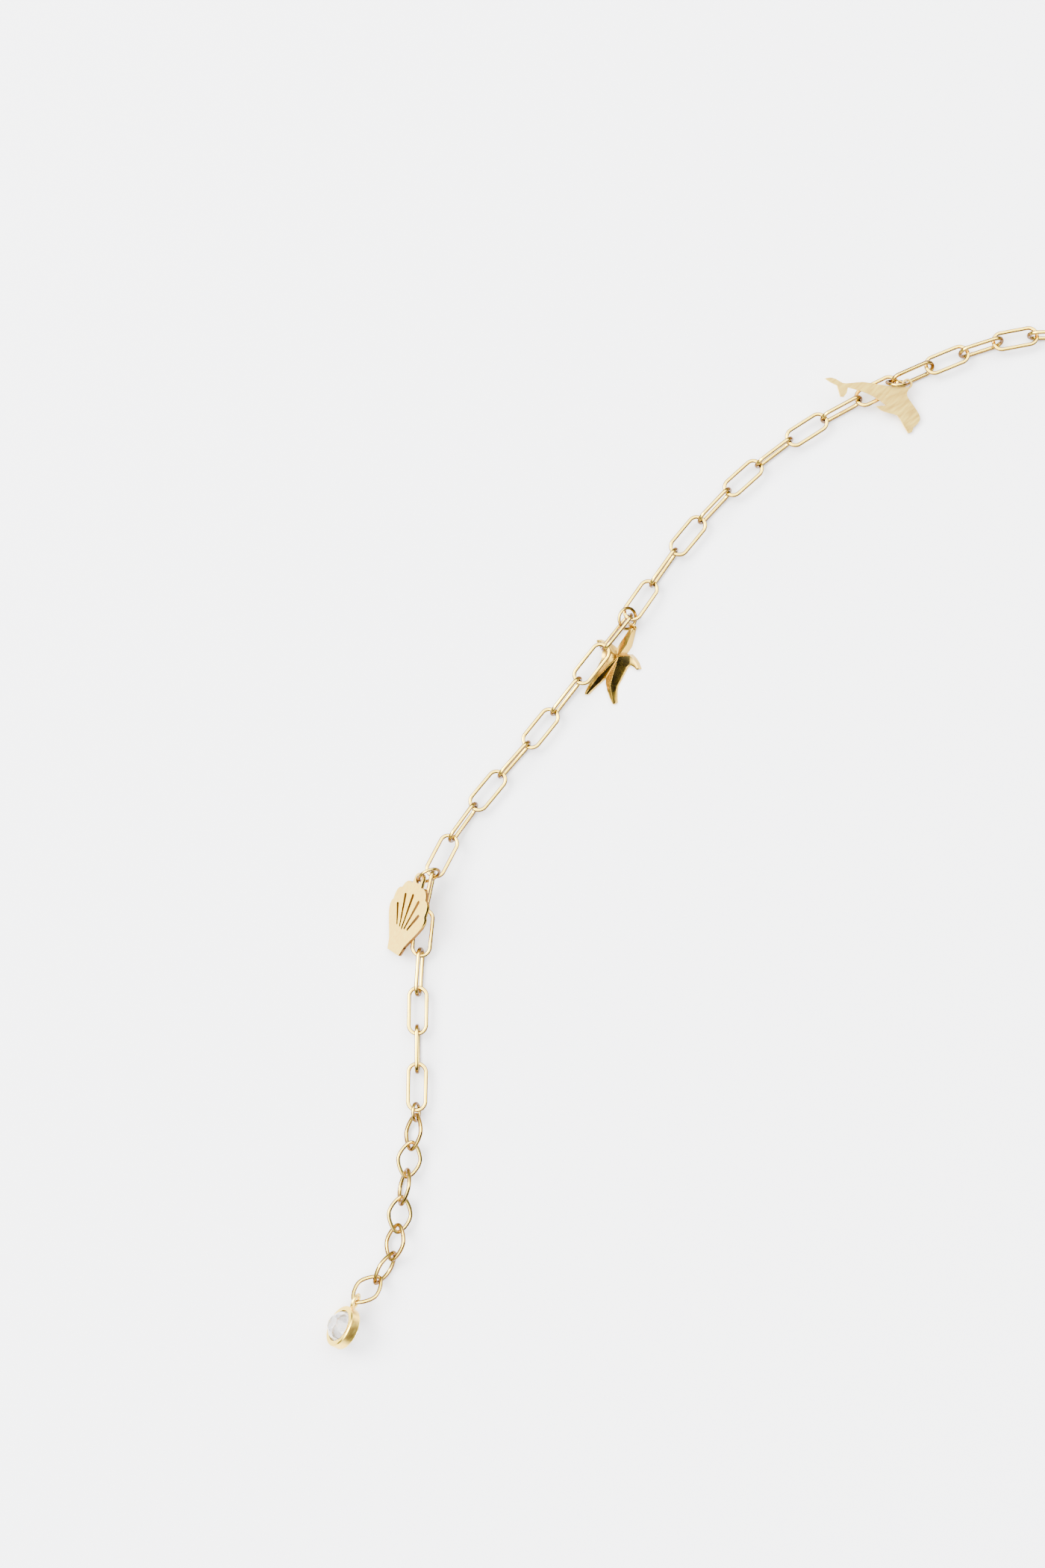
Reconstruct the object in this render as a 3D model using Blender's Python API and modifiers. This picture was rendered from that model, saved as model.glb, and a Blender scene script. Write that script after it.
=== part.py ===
"""A gold charm bracelet, unfastened and laid out on a flat surface.

A paperclip chain carries a scallop shell, a starfish and a dolphin on jump rings.
One end has an extender of rounded rhombus links that ends in a bezel-set stone, and
the other end has a jump ring and a spring-ring clasp.
Metres, +Z up. The surface is at Z = 0, and the origin is below the middle of the whole.
"""

import math

import bmesh
import bpy
from mathutils import Matrix, Vector

MM = 0.001
UP = Vector((0.0, 0.0, 1.0))

# Paperclip chain
LINK_COUNT = 33
LINK_PITCH = 4.82 * MM
LINK_WIDTH = 2.50 * MM
LINK_WIRE = 0.46 * MM
LINK_END_SIDES = 5
JOINT_PLAY = 0.20 * MM
# How the links lie, pushed together or drawn out: joint, and the spacing there as a share
LINK_SPACING = (
    (0, 0.905), (6, 0.980), (9, 1.010), (14, 1.014), (22, 1.014), (25, 0.895), (33, 0.930),
)
OPEN_LINK_DROP = 0.08 * MM
EDGE_LINK_ROLL = 82.0
ROLL_SWAY = 5.0
# Links turned further to make room for a charm or its ring: link, counted from 0, and degrees
ROLL_TURNS = {13: 26.0, 23: -24.0}

# Extender of rounded rhombus links, and the small round link that joins it to the chain
RHOMBUS_PITCH = 3.18 * MM
RHOMBUS_WIDTH = 3.20 * MM
RHOMBUS_WIRE = 0.44 * MM
RHOMBUS_PLAY = 0.42 * MM
RHOMBUS_POWER = 1.55
RHOMBUS_SIDES = 14
RHOMBUS_ROLLS = (-20.0, 65.0, -42.0, 22.0, -66.0, 20.0, -50.0)
SMALL_LINK_DIAMETER = 2.44 * MM
SMALL_LINK_WIRE = 0.38 * MM
SMALL_LINK_ROLL = 70.0
EXTENDER_HEIGHT = 1.50 * MM

# Jump rings
RING_DIAMETER = 2.90 * MM
RING_WIRE = 0.38 * MM
RING_SIDES = 14
# Charm rings: joint, centre from the joint in millimetres, azimuth and rise of the normal
CHARM_RINGS = {
    "shell_ring": (6, (-0.40, -0.45, 1.54), -68.0, 19.0),
    "star_ring": (14, (-0.23, -0.27, 0.07), -24.0, 50.0),
    "dolphin_ring": (23, (0.22, -0.25, 0.43), 87.0, 28.0),
}

# Scallop shell, a flat plate with cut-through slots that leans with its left side down
SHELL_JOINT = 6
SHELL_FAN = 7.70 * MM
SHELL_SLENDERNESS = 0.88
SHELL_THICKNESS = 0.45 * MM
SHELL_LOBES = 7
SHELL_LOBE_ANGLE = 15.5
SHELL_SCALLOP = 0.36 * MM
SHELL_HINGE_HALF = 1.15 * MM
SHELL_HINGE_DROP = 1.20 * MM
SHELL_WAIST_HALF = 1.50 * MM
SHELL_EYE_REACH = 7.95 * MM
SHELL_EYE_BORE = 1.00 * MM
SHELL_EYE_WALL = 0.32 * MM
SHELL_SLOT_WIDTHS = (0.24 * MM, 0.42 * MM)
SHELL_LEAN = 47.0
SHELL_TURN = 25.0
SHELL_HEADING = -3.0
SHELL_EYE_OFFSET = (-1.45 * MM, -0.95 * MM)
# Slots: angle from the middle, and the inner and outer end as shares of the fan
SHELL_SLOTS = (
    (-30.0, 0.30, 0.62),
    (-15.0, 0.26, 0.75),
    (0.0, 0.23, 0.77),
    (15.0, 0.26, 0.75),
    (30.0, 0.30, 0.62),
)

# Starfish, five ridged arms on a flat back, one arm under the chain
STAR_JOINT = 14
STAR_OFFSET = (-1.33 * MM, -4.84 * MM)
STAR_CROWN = 1.30 * MM
STAR_TIP_HEIGHT = 0.55 * MM
STAR_RIM = 0.39 * MM
STAR_DRAFT = (0.36 * MM, 0.13 * MM)
STAR_TIP_HALF = 0.20 * MM
STAR_ARM_HALF = 0.78 * MM
STAR_EYE_DIAMETER = 1.30 * MM
STAR_EYE_WIRE = 0.28 * MM
STAR_EYE_HEIGHT = 0.95 * MM
# Arms, anticlockwise: direction, length, bend towards the tip, radius of the valley after it,
# and the ridge's place across, from -1 at the right edge to 1 at the left edge
STAR_ARMS = (
    (63.5, 4.18 * MM, 2.0, 1.10 * MM, -0.40),
    (138.0, 3.20 * MM, 0.0, 1.95 * MM, 0.0),
    (222.0, 5.70 * MM, 6.0, 2.60 * MM, 0.1),
    (251.0, 5.40 * MM, 13.0, 1.45 * MM, -0.10),
    (4.0, 2.60 * MM, -32.0, 0.95 * MM, 0.60),
)
STAR_SECTIONS = (0.30, 0.55, 0.80, 1.0)

# Dolphin, a flat plate that leans on the chain with its nose on the surface
DOLPHIN_JOINT = 23
DOLPHIN_LENGTH = 11.80 * MM
DOLPHIN_THICKNESS = 0.40 * MM
DOLPHIN_BORE = 0.86 * MM
DOLPHIN_HOLE = (0.052, 0.080)
DOLPHIN_OFFSET = (0.78 * MM, -1.32 * MM)
DOLPHIN_GAP = 0.10 * MM

# Stone drop
STONE_DIAMETER = 4.00 * MM
STONE_GIRDLE = 0.30 * MM
STONE_CROWN = 1.45 * MM
STONE_TABLE = 0.45
STONE_PLAY = 0.05 * MM
BEZEL_WALL = 0.38 * MM
BEZEL_DEPTH = 1.30 * MM
BEZEL_LIP = 0.16 * MM
BEZEL_STEPS = 28
BAIL_DIAMETER = 2.10 * MM
BAIL_WIRE = 0.38 * MM
BAIL_PLAY = 0.35 * MM
BAIL_TURN = -45.0
DROP_LEAN = 58.0
DROP_HEADING = 244.9

# Spring-ring clasp, closed and plain
CLASP_DIAMETER = 5.80 * MM
CLASP_TUBE = 1.10 * MM
CLASP_LOOP = 2.00 * MM
CLASP_LOOP_WIRE = 0.44 * MM
CLASP_THUMB = 0.70 * MM
CLASP_STEPS = 24

# Where the chain is lifted: joint, height, reach along the chain to each side
LIFTS = ((6, 1.20 * MM, 9.5 * MM), (13, 0.80 * MM, 9.5 * MM))

# Route of the chain from the stone's end to the clasp's end, in millimetres
ROUTE = (
    (-18.9, -60.0), (-15.2, -55.9), (-13.9, -49.0), (-12.8, -42.7), (-12.2, -37.4),
    (-12.2, -29.2), (-11.9, -20.5), (-10.4, -10.9), (-5.7, -3.0), (0.5, 4.4),
    (6.5, 12.0), (12.6, 19.8), (18.4, 28.2), (25.1, 35.8), (32.6, 42.0),
    (40.5, 46.7), (48.6, 50.6), (56.9, 53.8), (64.5, 54.9), (72.0, 53.6),
    (79.0, 50.5), (85.4, 46.0), (91.0, 40.4), (95.6, 33.9),
)
ROUTE_STEPS = 24

# Dolphin's outline in shares of its length; True marks a corner
DOLPHIN_OUTLINE = (
    (-0.808, 0.115, True), (-0.752, 0.127, False), (-0.690, 0.112, False),
    (-0.622, 0.076, False), (-0.545, 0.076, False), (-0.410, 0.090, False),
    (-0.260, 0.070, False), (-0.100, 0.052, False), (-0.012, 0.060, True),
    (0.002, 0.102, False), (0.032, 0.130, False), (0.073, 0.130, False),
    (0.102, 0.100, False), (0.101, 0.056, False), (0.066, 0.024, False),
    (0.050, -0.035, False), (0.090, -0.095, False),
    (0.155, -0.180, False), (0.195, -0.255, False), (0.180, -0.310, False),
    (0.128, -0.360, True), (0.112, -0.405, False), (0.076, -0.418, True),
    (0.030, -0.350, False), (-0.038, -0.245, False), (-0.125, -0.220, False),
    (-0.210, -0.195, False), (-0.268, -0.150, True), (-0.160, -0.142, True),
    (-0.285, -0.060, False), (-0.420, -0.005, False), (-0.568, 0.030, True),
    (-0.578, -0.025, False), (-0.610, -0.068, True), (-0.640, -0.066, True),
    (-0.660, -0.010, False), (-0.678, 0.048, True), (-0.745, 0.076, False),
)

GOLD_POLISHED = ("polished yellow gold", (0.84, 0.68, 0.38, 1.0), 0.16, 1.0)
GOLD_SATIN = ("satin yellow gold", (0.84, 0.70, 0.44, 1.0), 0.36, 1.0)
STONE_CLEAR = ("clear cut stone", (0.93, 0.93, 0.91, 1.0), 0.03, 0.0)


def clear_scene():
    for item in list(bpy.data.objects):
        bpy.data.objects.remove(item, do_unlink=True)


def new_collection(name):
    collection = bpy.data.collections.new(name)
    bpy.context.scene.collection.children.link(collection)
    return collection


def make_material(finish):
    name, colour, roughness, metallic = finish
    material = bpy.data.materials.new(name)
    material.use_nodes = True
    shader = material.node_tree.nodes["Principled BSDF"]
    shader.inputs["Base Color"].default_value = colour
    shader.inputs["Roughness"].default_value = roughness
    shader.inputs["Metallic"].default_value = metallic
    return material


def smooth_route(corners, steps):
    """Points of a Catmull-Rom curve through the corners."""
    first = 2 * corners[0] - corners[1]
    last = 2 * corners[-1] - corners[-2]
    padded = [first, *corners, last]
    points = []
    for a, b, c, d in zip(padded, padded[1:], padded[2:], padded[3:]):
        for step in range(steps):
            t = step / steps
            points.append(0.5 * (
                2 * b + (c - a) * t
                + (2 * a - 5 * b + 4 * c - d) * t ** 2
                + (3 * b - a - 3 * c + d) * t ** 3
            ))
    points.append(corners[-1])
    return points


def walk_route(points, pitches):
    """Joints along the route, each one straight pitch from the last."""
    joints = [points[0].copy()]
    segment = 0
    for pitch in pitches:
        here = joints[-1]
        while segment < len(points) - 2 and (points[segment + 1] - here).length < pitch:
            segment += 1
        start = points[segment]
        ray = (points[segment + 1] - start).normalized()
        back = start - here
        middle = ray.dot(back)
        reach = math.sqrt(max(0.0, middle ** 2 - back.length_squared + pitch ** 2))
        joints.append(start + ray * (reach - middle))
    return joints


def link_step(index):
    """Distance between a paperclip link's two joints, as the chain lies."""
    for (near, first), (far, last) in zip(LINK_SPACING, LINK_SPACING[1:]):
        if near <= index <= far:
            return LINK_PITCH * (first + (last - first) * (index - near) / (far - near))


def lift_at(joint):
    """How far the chain is raised at a joint of the paperclip chain."""
    height = 0.0
    for centre, top, reach in LIFTS:
        share = min(1.0, abs(joint - centre) * LINK_PITCH / reach)
        height += top * math.cos(share * math.pi / 2) ** 2
    return height


def lay_chain():
    """Joints of the extender, from the stone, and of the paperclip chain, on their axis."""
    small_pitch = SMALL_LINK_DIAMETER - 2 * SMALL_LINK_WIRE - JOINT_PLAY
    ring_pitch = RING_DIAMETER - 2 * RING_WIRE - JOINT_PLAY
    extender_steps = [RHOMBUS_PITCH] * len(RHOMBUS_ROLLS) + [small_pitch]
    chain_steps = [link_step(index) for index in range(LINK_COUNT)] + [ring_pitch]
    corners = [Vector((x * MM, y * MM, 0.0)) for x, y in ROUTE]
    joints = walk_route(smooth_route(corners, ROUTE_STEPS), extender_steps + chain_steps)
    extender = joints[:len(extender_steps)]
    chain = joints[len(extender_steps):]
    for joint in extender:
        joint.z = EXTENDER_HEIGHT
    for index, joint in enumerate(chain):
        joint.z = LINK_WIDTH / 2 + lift_at(index)
    return extender, chain


def stadium(length, width, end_sides):
    """A racetrack outline: two straight sides joined by half circles."""
    radius = width / 2
    points = []
    for centre, start in ((length / 2 - radius, -90.0), (radius - length / 2, 90.0)):
        for step in range(end_sides + 1):
            angle = math.radians(start + 180.0 * step / end_sides)
            points.append((centre + radius * math.cos(angle), radius * math.sin(angle)))
    return points


def superellipse(length, width, power, sides):
    """A closed outline between a rhombus, at power 1, and an ellipse, at power 2."""
    points = []
    for step in range(sides):
        angle = 2 * math.pi * step / sides
        c, s = math.cos(angle), math.sin(angle)
        points.append((
            length / 2 * math.copysign(abs(c) ** (2 / power), c),
            width / 2 * math.copysign(abs(s) ** (2 / power), s),
        ))
    return points


def wire_curve(name, outline, wire):
    """A closed wire with six flat sides, one of them outwards, in the XY plane."""
    curve = bpy.data.curves.new(name, "CURVE")
    curve.dimensions = "3D"
    curve.twist_mode = "Z_UP"
    curve.bevel_depth = wire / 2 / math.cos(math.radians(30.0))
    curve.bevel_resolution = 1
    spline = curve.splines.new("POLY")
    spline.points.add(len(outline) - 1)
    for point, (x, y) in zip(spline.points, outline):
        point.co = (x, y, 0.0, 1.0)
        point.tilt = math.radians(30.0)
    spline.use_cyclic_u = True
    return curve


def flat_curve(name, outlines, thickness):
    """A plate: the first outline, less the others as holes, centred on the XY plane."""
    curve = bpy.data.curves.new(name, "CURVE")
    curve.dimensions = "2D"
    curve.fill_mode = "BOTH"
    curve.extrude = thickness / 2
    for outline in outlines:
        spline = curve.splines.new("POLY")
        spline.points.add(len(outline) - 1)
        for point, (x, y) in zip(spline.points, outline):
            point.co = (x, y, 0.0, 1.0)
        spline.use_cyclic_u = True
    return curve


def frame_matrix(origin, along, normal, roll=0.0):
    """X along, Z as near the normal as it can be, then rolled about X in degrees."""
    x_axis = along.normalized()
    y_axis = normal.cross(x_axis).normalized()
    z_axis = x_axis.cross(y_axis)
    turn = Matrix.Rotation(math.radians(roll), 3, x_axis)
    axes = Matrix((x_axis, turn @ y_axis, turn @ z_axis)).transposed()
    return Matrix.Translation(origin) @ axes.to_4x4()


class Bracelet:
    """Holds the collections, the materials and the empty that everything hangs on."""

    def __init__(self):
        self.parts = new_collection("charm_bracelet")
        self.cutters = new_collection("soldered_pieces")
        self.root = bpy.data.objects.new("bracelet_origin", None)
        self.parts.objects.link(self.root)
        self.polished = make_material(GOLD_POLISHED)
        self.satin = make_material(GOLD_SATIN)
        self.clear = make_material(STONE_CLEAR)

    def add(self, name, data, matrix, material):
        """One piece of the bracelet, placed by its own matrix."""
        item = bpy.data.objects.new(name, data)
        self.parts.objects.link(item)
        item.parent = self.root
        item.matrix_basis = matrix
        if not data.materials:
            data.materials.append(material)
        return item

    def add_mesh(self, name, data, matrix, material):
        data.shade_smooth()
        data.set_sharp_from_angle(angle=math.radians(40.0))
        return self.add(name, data, matrix, material)

    def solder(self, item, name, data, matrix):
        """Join a second shape to a piece, given in the piece's own frame."""
        extra = bpy.data.objects.new(name, data)
        self.cutters.objects.link(extra)
        extra.parent = item
        extra.matrix_basis = matrix
        extra.hide_render = True
        extra.display_type = "WIRE"
        join = item.modifiers.new(name, "BOOLEAN")
        join.operation = "UNION"
        join.solver = "EXACT"
        join.object = extra


def mesh_from_curve(curve):
    """The welded mesh of a curve, which a Boolean modifier can read."""
    item = bpy.data.objects.new(curve.name, curve)
    bpy.context.scene.collection.objects.link(item)
    evaluated = item.evaluated_get(bpy.context.evaluated_depsgraph_get())
    mesh = bpy.data.meshes.new_from_object(evaluated)
    bpy.data.objects.remove(item)
    shape = bmesh.new()
    shape.from_mesh(mesh)
    bmesh.ops.remove_doubles(shape, verts=shape.verts, dist=0.0001 * MM)
    bmesh.ops.recalc_face_normals(shape, faces=shape.faces)
    shape.to_mesh(mesh)
    shape.free()
    return mesh


def ring_outline(diameter, wire, sides=RING_SIDES):
    centre_line = diameter - wire
    return superellipse(centre_line, centre_line, 2.0, sides)


def make_paperclip_chain(bracelet, joints):
    """Paperclip links, lying open and standing on edge by turns."""
    length = LINK_PITCH + LINK_WIRE + JOINT_PLAY
    width = LINK_WIDTH - LINK_WIRE
    wire = wire_curve("paperclip_link", stadium(length, width, LINK_END_SIDES), LINK_WIRE)
    for index, (start, end) in enumerate(zip(joints[:LINK_COUNT], joints[1:])):
        is_open = index % 2 == 0
        sway = ROLL_SWAY * math.sin(1.7 * index) + ROLL_TURNS.get(index, 0.0)
        roll = sway if is_open else EDGE_LINK_ROLL + sway
        centre = (start + end) / 2
        if is_open:
            centre = centre - UP * OPEN_LINK_DROP
        matrix = frame_matrix(centre, end - start, UP, roll)
        bracelet.add(f"chain_link_{index + 1:02d}", wire, matrix, bracelet.polished)


def make_extender(bracelet, extender, chain):
    """Rounded rhombus links and the small round link that joins them to the chain."""
    length = RHOMBUS_PITCH + RHOMBUS_WIRE + RHOMBUS_PLAY
    width = RHOMBUS_WIDTH - RHOMBUS_WIRE
    outline = superellipse(length, width, RHOMBUS_POWER, RHOMBUS_SIDES)
    wire = wire_curve("rhombus_link", outline, RHOMBUS_WIRE)
    for index, roll in enumerate(RHOMBUS_ROLLS):
        start, end = extender[index], extender[index + 1]
        matrix = frame_matrix((start + end) / 2, end - start, UP, roll)
        bracelet.add(f"extender_link_{index + 1}", wire, matrix, bracelet.polished)
    outline = ring_outline(SMALL_LINK_DIAMETER, SMALL_LINK_WIRE, RHOMBUS_SIDES)
    small = wire_curve("small_link", outline, SMALL_LINK_WIRE)
    start, end = extender[-1], chain[0]
    matrix = frame_matrix((start + end) / 2, end - start, UP, SMALL_LINK_ROLL)
    bracelet.add("extender_small_link", small, matrix, bracelet.polished)


def along_shell(angle, radius):
    """A point of the shell's plate at an angle from its middle line, in degrees."""
    turn = math.radians(angle)
    return (SHELL_SLENDERNESS * radius * math.sin(turn), radius * math.cos(turn))


def arc(centre, radius, start, end, steps):
    """Points on an arc, at angles from +Y towards +X in degrees."""
    points = []
    for step in range(steps + 1):
        turn = math.radians(start + (end - start) * step / steps)
        points.append((centre[0] + radius * math.sin(turn), centre[1] + radius * math.cos(turn)))
    return points


def shell_edge():
    """Scalloped fan with the eye's tab in its middle, then the waist and the hinge."""
    eye_radius = SHELL_EYE_BORE / 2 + SHELL_EYE_WALL
    points = []
    for lobe in range(-(SHELL_LOBES // 2), SHELL_LOBES // 2 + 1):
        shares = (-0.5,) if lobe == 0 else (-0.5, -0.25, 0.0, 0.25)
        for share in shares:
            angle = (lobe + share) * SHELL_LOBE_ANGLE
            dip = SHELL_SCALLOP * (2 * share) ** 2
            points.append(along_shell(angle, SHELL_FAN * math.cos(math.radians(angle)) - dip))
        if lobe == 0:
            points += arc((0.0, SHELL_EYE_REACH), eye_radius, -100.0, 100.0, 8)
    side = SHELL_LOBES / 2 * SHELL_LOBE_ANGLE
    points.append(along_shell(side, SHELL_FAN * math.cos(math.radians(side)) - SHELL_SCALLOP))
    points += [
        (SHELL_WAIST_HALF, 0.0),
        (SHELL_HINGE_HALF, -SHELL_HINGE_DROP),
        (-SHELL_HINGE_HALF, -SHELL_HINGE_DROP),
        (-SHELL_WAIST_HALF, 0.0),
    ]
    return points


def shell_slot(angle, inner, outer):
    """A slot that widens outwards and has round ends."""
    near, far = along_shell(angle, inner * SHELL_FAN), along_shell(angle, outer * SHELL_FAN)
    heading = math.degrees(math.atan2(far[0] - near[0], far[1] - near[1]))
    narrow, wide = SHELL_SLOT_WIDTHS
    points = arc(near, narrow / 2, heading + 90.0, heading + 270.0, 2)
    return points + arc(far, wide / 2, heading - 90.0, heading + 90.0, 4)


def rest_plate(rotation, edge, thickness):
    """Height of a turned plate's origin that puts its lowest corner on the surface."""
    corners = [Vector((x, y, side * thickness / 2)) for x, y in edge for side in (-1, 1)]
    return -min((rotation @ corner).z for corner in corners)


def make_shell(bracelet, joint):
    """Scallop shell, leaning to the left with its eye up at the chain."""
    edge = shell_edge()
    eye = arc((0.0, SHELL_EYE_REACH), SHELL_EYE_BORE / 2, 0.0, 330.0, 11)
    slots = [shell_slot(*row) for row in SHELL_SLOTS]
    plate = flat_curve("shell_plate", [edge, eye, *slots], SHELL_THICKNESS)
    rotation = (
        Matrix.Rotation(math.radians(SHELL_HEADING), 3, "Z")
        @ Matrix.Rotation(math.radians(-SHELL_LEAN), 3, "Y")
        @ Matrix.Rotation(math.radians(-SHELL_TURN), 3, "Z")
    )
    reach = rotation @ Vector((0.0, SHELL_EYE_REACH, 0.0))
    x, y = SHELL_EYE_OFFSET
    origin = Vector((joint.x + x - reach.x, joint.y + y - reach.y, 0.0))
    origin.z = rest_plate(rotation, edge, SHELL_THICKNESS)
    matrix = Matrix.Translation(origin) @ rotation.to_4x4()
    bracelet.add("shell_charm", plate, matrix, bracelet.satin)


def star_arm(direction, length, bend, base, across):
    """Ridge, right and left points of an arm from its base outwards, and its tip."""
    ridge, right, left = [], [], []
    for share in STAR_SECTIONS:
        reach = base + (length - base) * share
        turn = math.radians(direction + bend * share)
        axis = Vector((math.cos(turn), math.sin(turn), 0.0))
        side = UP.cross(axis)
        half = STAR_ARM_HALF + (STAR_TIP_HALF - STAR_ARM_HALF) * share
        height = STAR_CROWN + (STAR_TIP_HEIGHT - STAR_CROWN) * reach / length
        ridge.append(axis * reach + side * half * across + UP * height)
        left.append(axis * reach + side * half + UP * STAR_RIM)
        right.append(axis * reach - side * half + UP * STAR_RIM)
    tip = axis * (length + STAR_TIP_HALF) + UP * STAR_RIM
    return ridge, right, left, tip


def star_mesh():
    """Five arms whose ridges meet at the crown, with a rim in draft and a flat back."""
    valleys = []
    for arm, after in zip(STAR_ARMS, STAR_ARMS[1:] + STAR_ARMS[:1]):
        gap = (after[0] - arm[0]) % 360.0
        turn = math.radians(arm[0] + gap / 2)
        valleys.append((turn, Vector((math.cos(turn), math.sin(turn), 0.0)) * arm[3]))
    shape = bmesh.new()
    crown = shape.verts.new((0.0, 0.0, STAR_CROWN))
    rim = []
    valley_verts = [shape.verts.new(point + UP * STAR_RIM) for _, point in valleys]
    for index, (direction, length, bend, _, across) in enumerate(STAR_ARMS):
        bases = [
            point.length * math.cos(turn - math.radians(direction))
            for turn, point in (valleys[index - 1], valleys[index])
        ]
        ridge, right, left, tip = star_arm(direction, length, bend, max(bases), across)
        ridge = [crown] + [shape.verts.new(point) for point in ridge]
        right = [valley_verts[index - 1]] + [shape.verts.new(point) for point in right]
        left = [valley_verts[index]] + [shape.verts.new(point) for point in left]
        tip = shape.verts.new(tip)
        for near in range(len(ridge) - 1):
            far = near + 1
            shape.faces.new((ridge[near], right[near], right[far], ridge[far]))
            shape.faces.new((ridge[near], ridge[far], left[far], left[near]))
        shape.faces.new((ridge[-1], right[-1], tip))
        shape.faces.new((ridge[-1], tip, left[-1]))
        rim += right + [tip] + left[:0:-1]
    x, y = STAR_DRAFT
    back = [shape.verts.new((vert.co.x + x, vert.co.y + y, 0.0)) for vert in rim]
    for index, vert in enumerate(rim):
        shape.faces.new((back[index - 1], back[index], vert, rim[index - 1]))
    shape.faces.new(back)
    bmesh.ops.recalc_face_normals(shape, faces=shape.faces)
    mesh = bpy.data.meshes.new("star_body")
    shape.to_mesh(mesh)
    shape.free()
    return mesh


def make_star(bracelet, joint, along):
    """Starfish on its flat back, with an eye soldered across the end of its top arm."""
    origin = Vector((joint.x + STAR_OFFSET[0], joint.y + STAR_OFFSET[1], 0.0))
    matrix = Matrix.Translation(origin)
    star = bracelet.add_mesh("star_charm", star_mesh(), matrix, bracelet.polished)
    direction, length, bend = STAR_ARMS[0][:3]
    turn = math.radians(direction + bend)
    tip = Vector((math.cos(turn), math.sin(turn), 0.0)) * length + UP * STAR_EYE_HEIGHT
    eye = mesh_from_curve(
        wire_curve("star_eye", ring_outline(STAR_EYE_DIAMETER, STAR_EYE_WIRE, 12), STAR_EYE_WIRE)
    )
    across = Vector((along.y, -along.x, 0.0))
    bracelet.solder(star, "star_eye", eye, frame_matrix(tip, across, along))


def dolphin_edge():
    """The outline, smoothed between its corners."""
    corners = [(Vector((x, y, 0.0)) * DOLPHIN_LENGTH, sharp) for x, y, sharp in DOLPHIN_OUTLINE]
    points = []
    count = len(corners)
    for index, (here, sharp) in enumerate(corners):
        before, _ = corners[index - 1]
        after, after_sharp = corners[(index + 1) % count]
        beyond, _ = corners[(index + 2) % count]
        lead = here if sharp else before
        tail = after if after_sharp else beyond
        points.append((here.x, here.y))
        bulge = (here + after) * 0.5625 - (lead + tail) * 0.0625
        points.append((bulge.x, bulge.y))
    return points


def make_dolphin(bracelet, joint, along):
    """Dolphin, its back carried by the open link below it and its nose on the surface."""
    edge = dolphin_edge()
    hole = [share * DOLPHIN_LENGTH for share in DOLPHIN_HOLE]
    bore = arc(hole, DOLPHIN_BORE / 2, 0.0, 324.0, 9)
    plate = flat_curve("dolphin_plate", [edge, bore], DOLPHIN_THICKNESS)
    heading = Vector((along.x, along.y, 0.0)).normalized()
    right = heading.cross(UP)
    offset = Vector((*DOLPHIN_OFFSET, 0.0))
    reach = max(Vector((x, y, 0.0)).dot(right) for x, y in edge) + offset.dot(right)
    link_top = joint.z - OPEN_LINK_DROP + LINK_WIRE / 2 / math.cos(math.radians(30.0))
    lean = math.asin((link_top + DOLPHIN_GAP) / (reach - LINK_WIDTH / 2))
    rotation = Matrix.Rotation(lean, 3, heading)
    origin = Vector((joint.x, joint.y, 0.0)) + offset
    origin.z = rest_plate(rotation, edge, DOLPHIN_THICKNESS)
    matrix = Matrix.Translation(origin) @ rotation.to_4x4()
    bracelet.add("dolphin_charm", plate, matrix, bracelet.satin)


def make_charm_rings(bracelet, joints):
    wire = wire_curve("jump_ring", ring_outline(RING_DIAMETER, RING_WIRE), RING_WIRE)
    for name, (joint, offset, azimuth, rise) in CHARM_RINGS.items():
        turn, climb = math.radians(azimuth), math.radians(rise)
        normal = Vector((
            math.cos(turn) * math.cos(climb), math.sin(turn) * math.cos(climb), math.sin(climb)
        ))
        matrix = frame_matrix(joints[joint] + Vector(offset) * MM, normal.orthogonal(), normal)
        bracelet.add(name, wire, matrix, bracelet.polished)


def stone_mesh():
    """A stone cut alike on both sides: an octagonal table, two rows of facets, a girdle."""
    radius = STONE_DIAMETER / 2
    rows = (
        (radius, STONE_GIRDLE / 2, 16, 0.0),
        (radius * (1 + STONE_TABLE) / 2 * 1.03, STONE_GIRDLE / 2 + STONE_CROWN * 0.62, 8, 22.5),
        (radius * STONE_TABLE, STONE_GIRDLE / 2 + STONE_CROWN, 8, 0.0),
    )
    shape = bmesh.new()
    for reach, height, count, start in rows:
        for step in range(count):
            turn = math.radians(start + 360.0 * step / count)
            for side in (-1, 1):
                shape.verts.new((reach * math.cos(turn), reach * math.sin(turn), side * height))
    hull = bmesh.ops.convex_hull(shape, input=shape.verts)
    bmesh.ops.delete(shape, geom=hull["geom_interior"], context="VERTS")
    bmesh.ops.dissolve_limit(
        shape, angle_limit=math.radians(0.5), verts=shape.verts, edges=shape.edges
    )
    bmesh.ops.recalc_face_normals(shape, faces=shape.faces)
    mesh = bpy.data.meshes.new("drop_stone")
    shape.to_mesh(mesh)
    shape.free()
    return mesh


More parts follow.
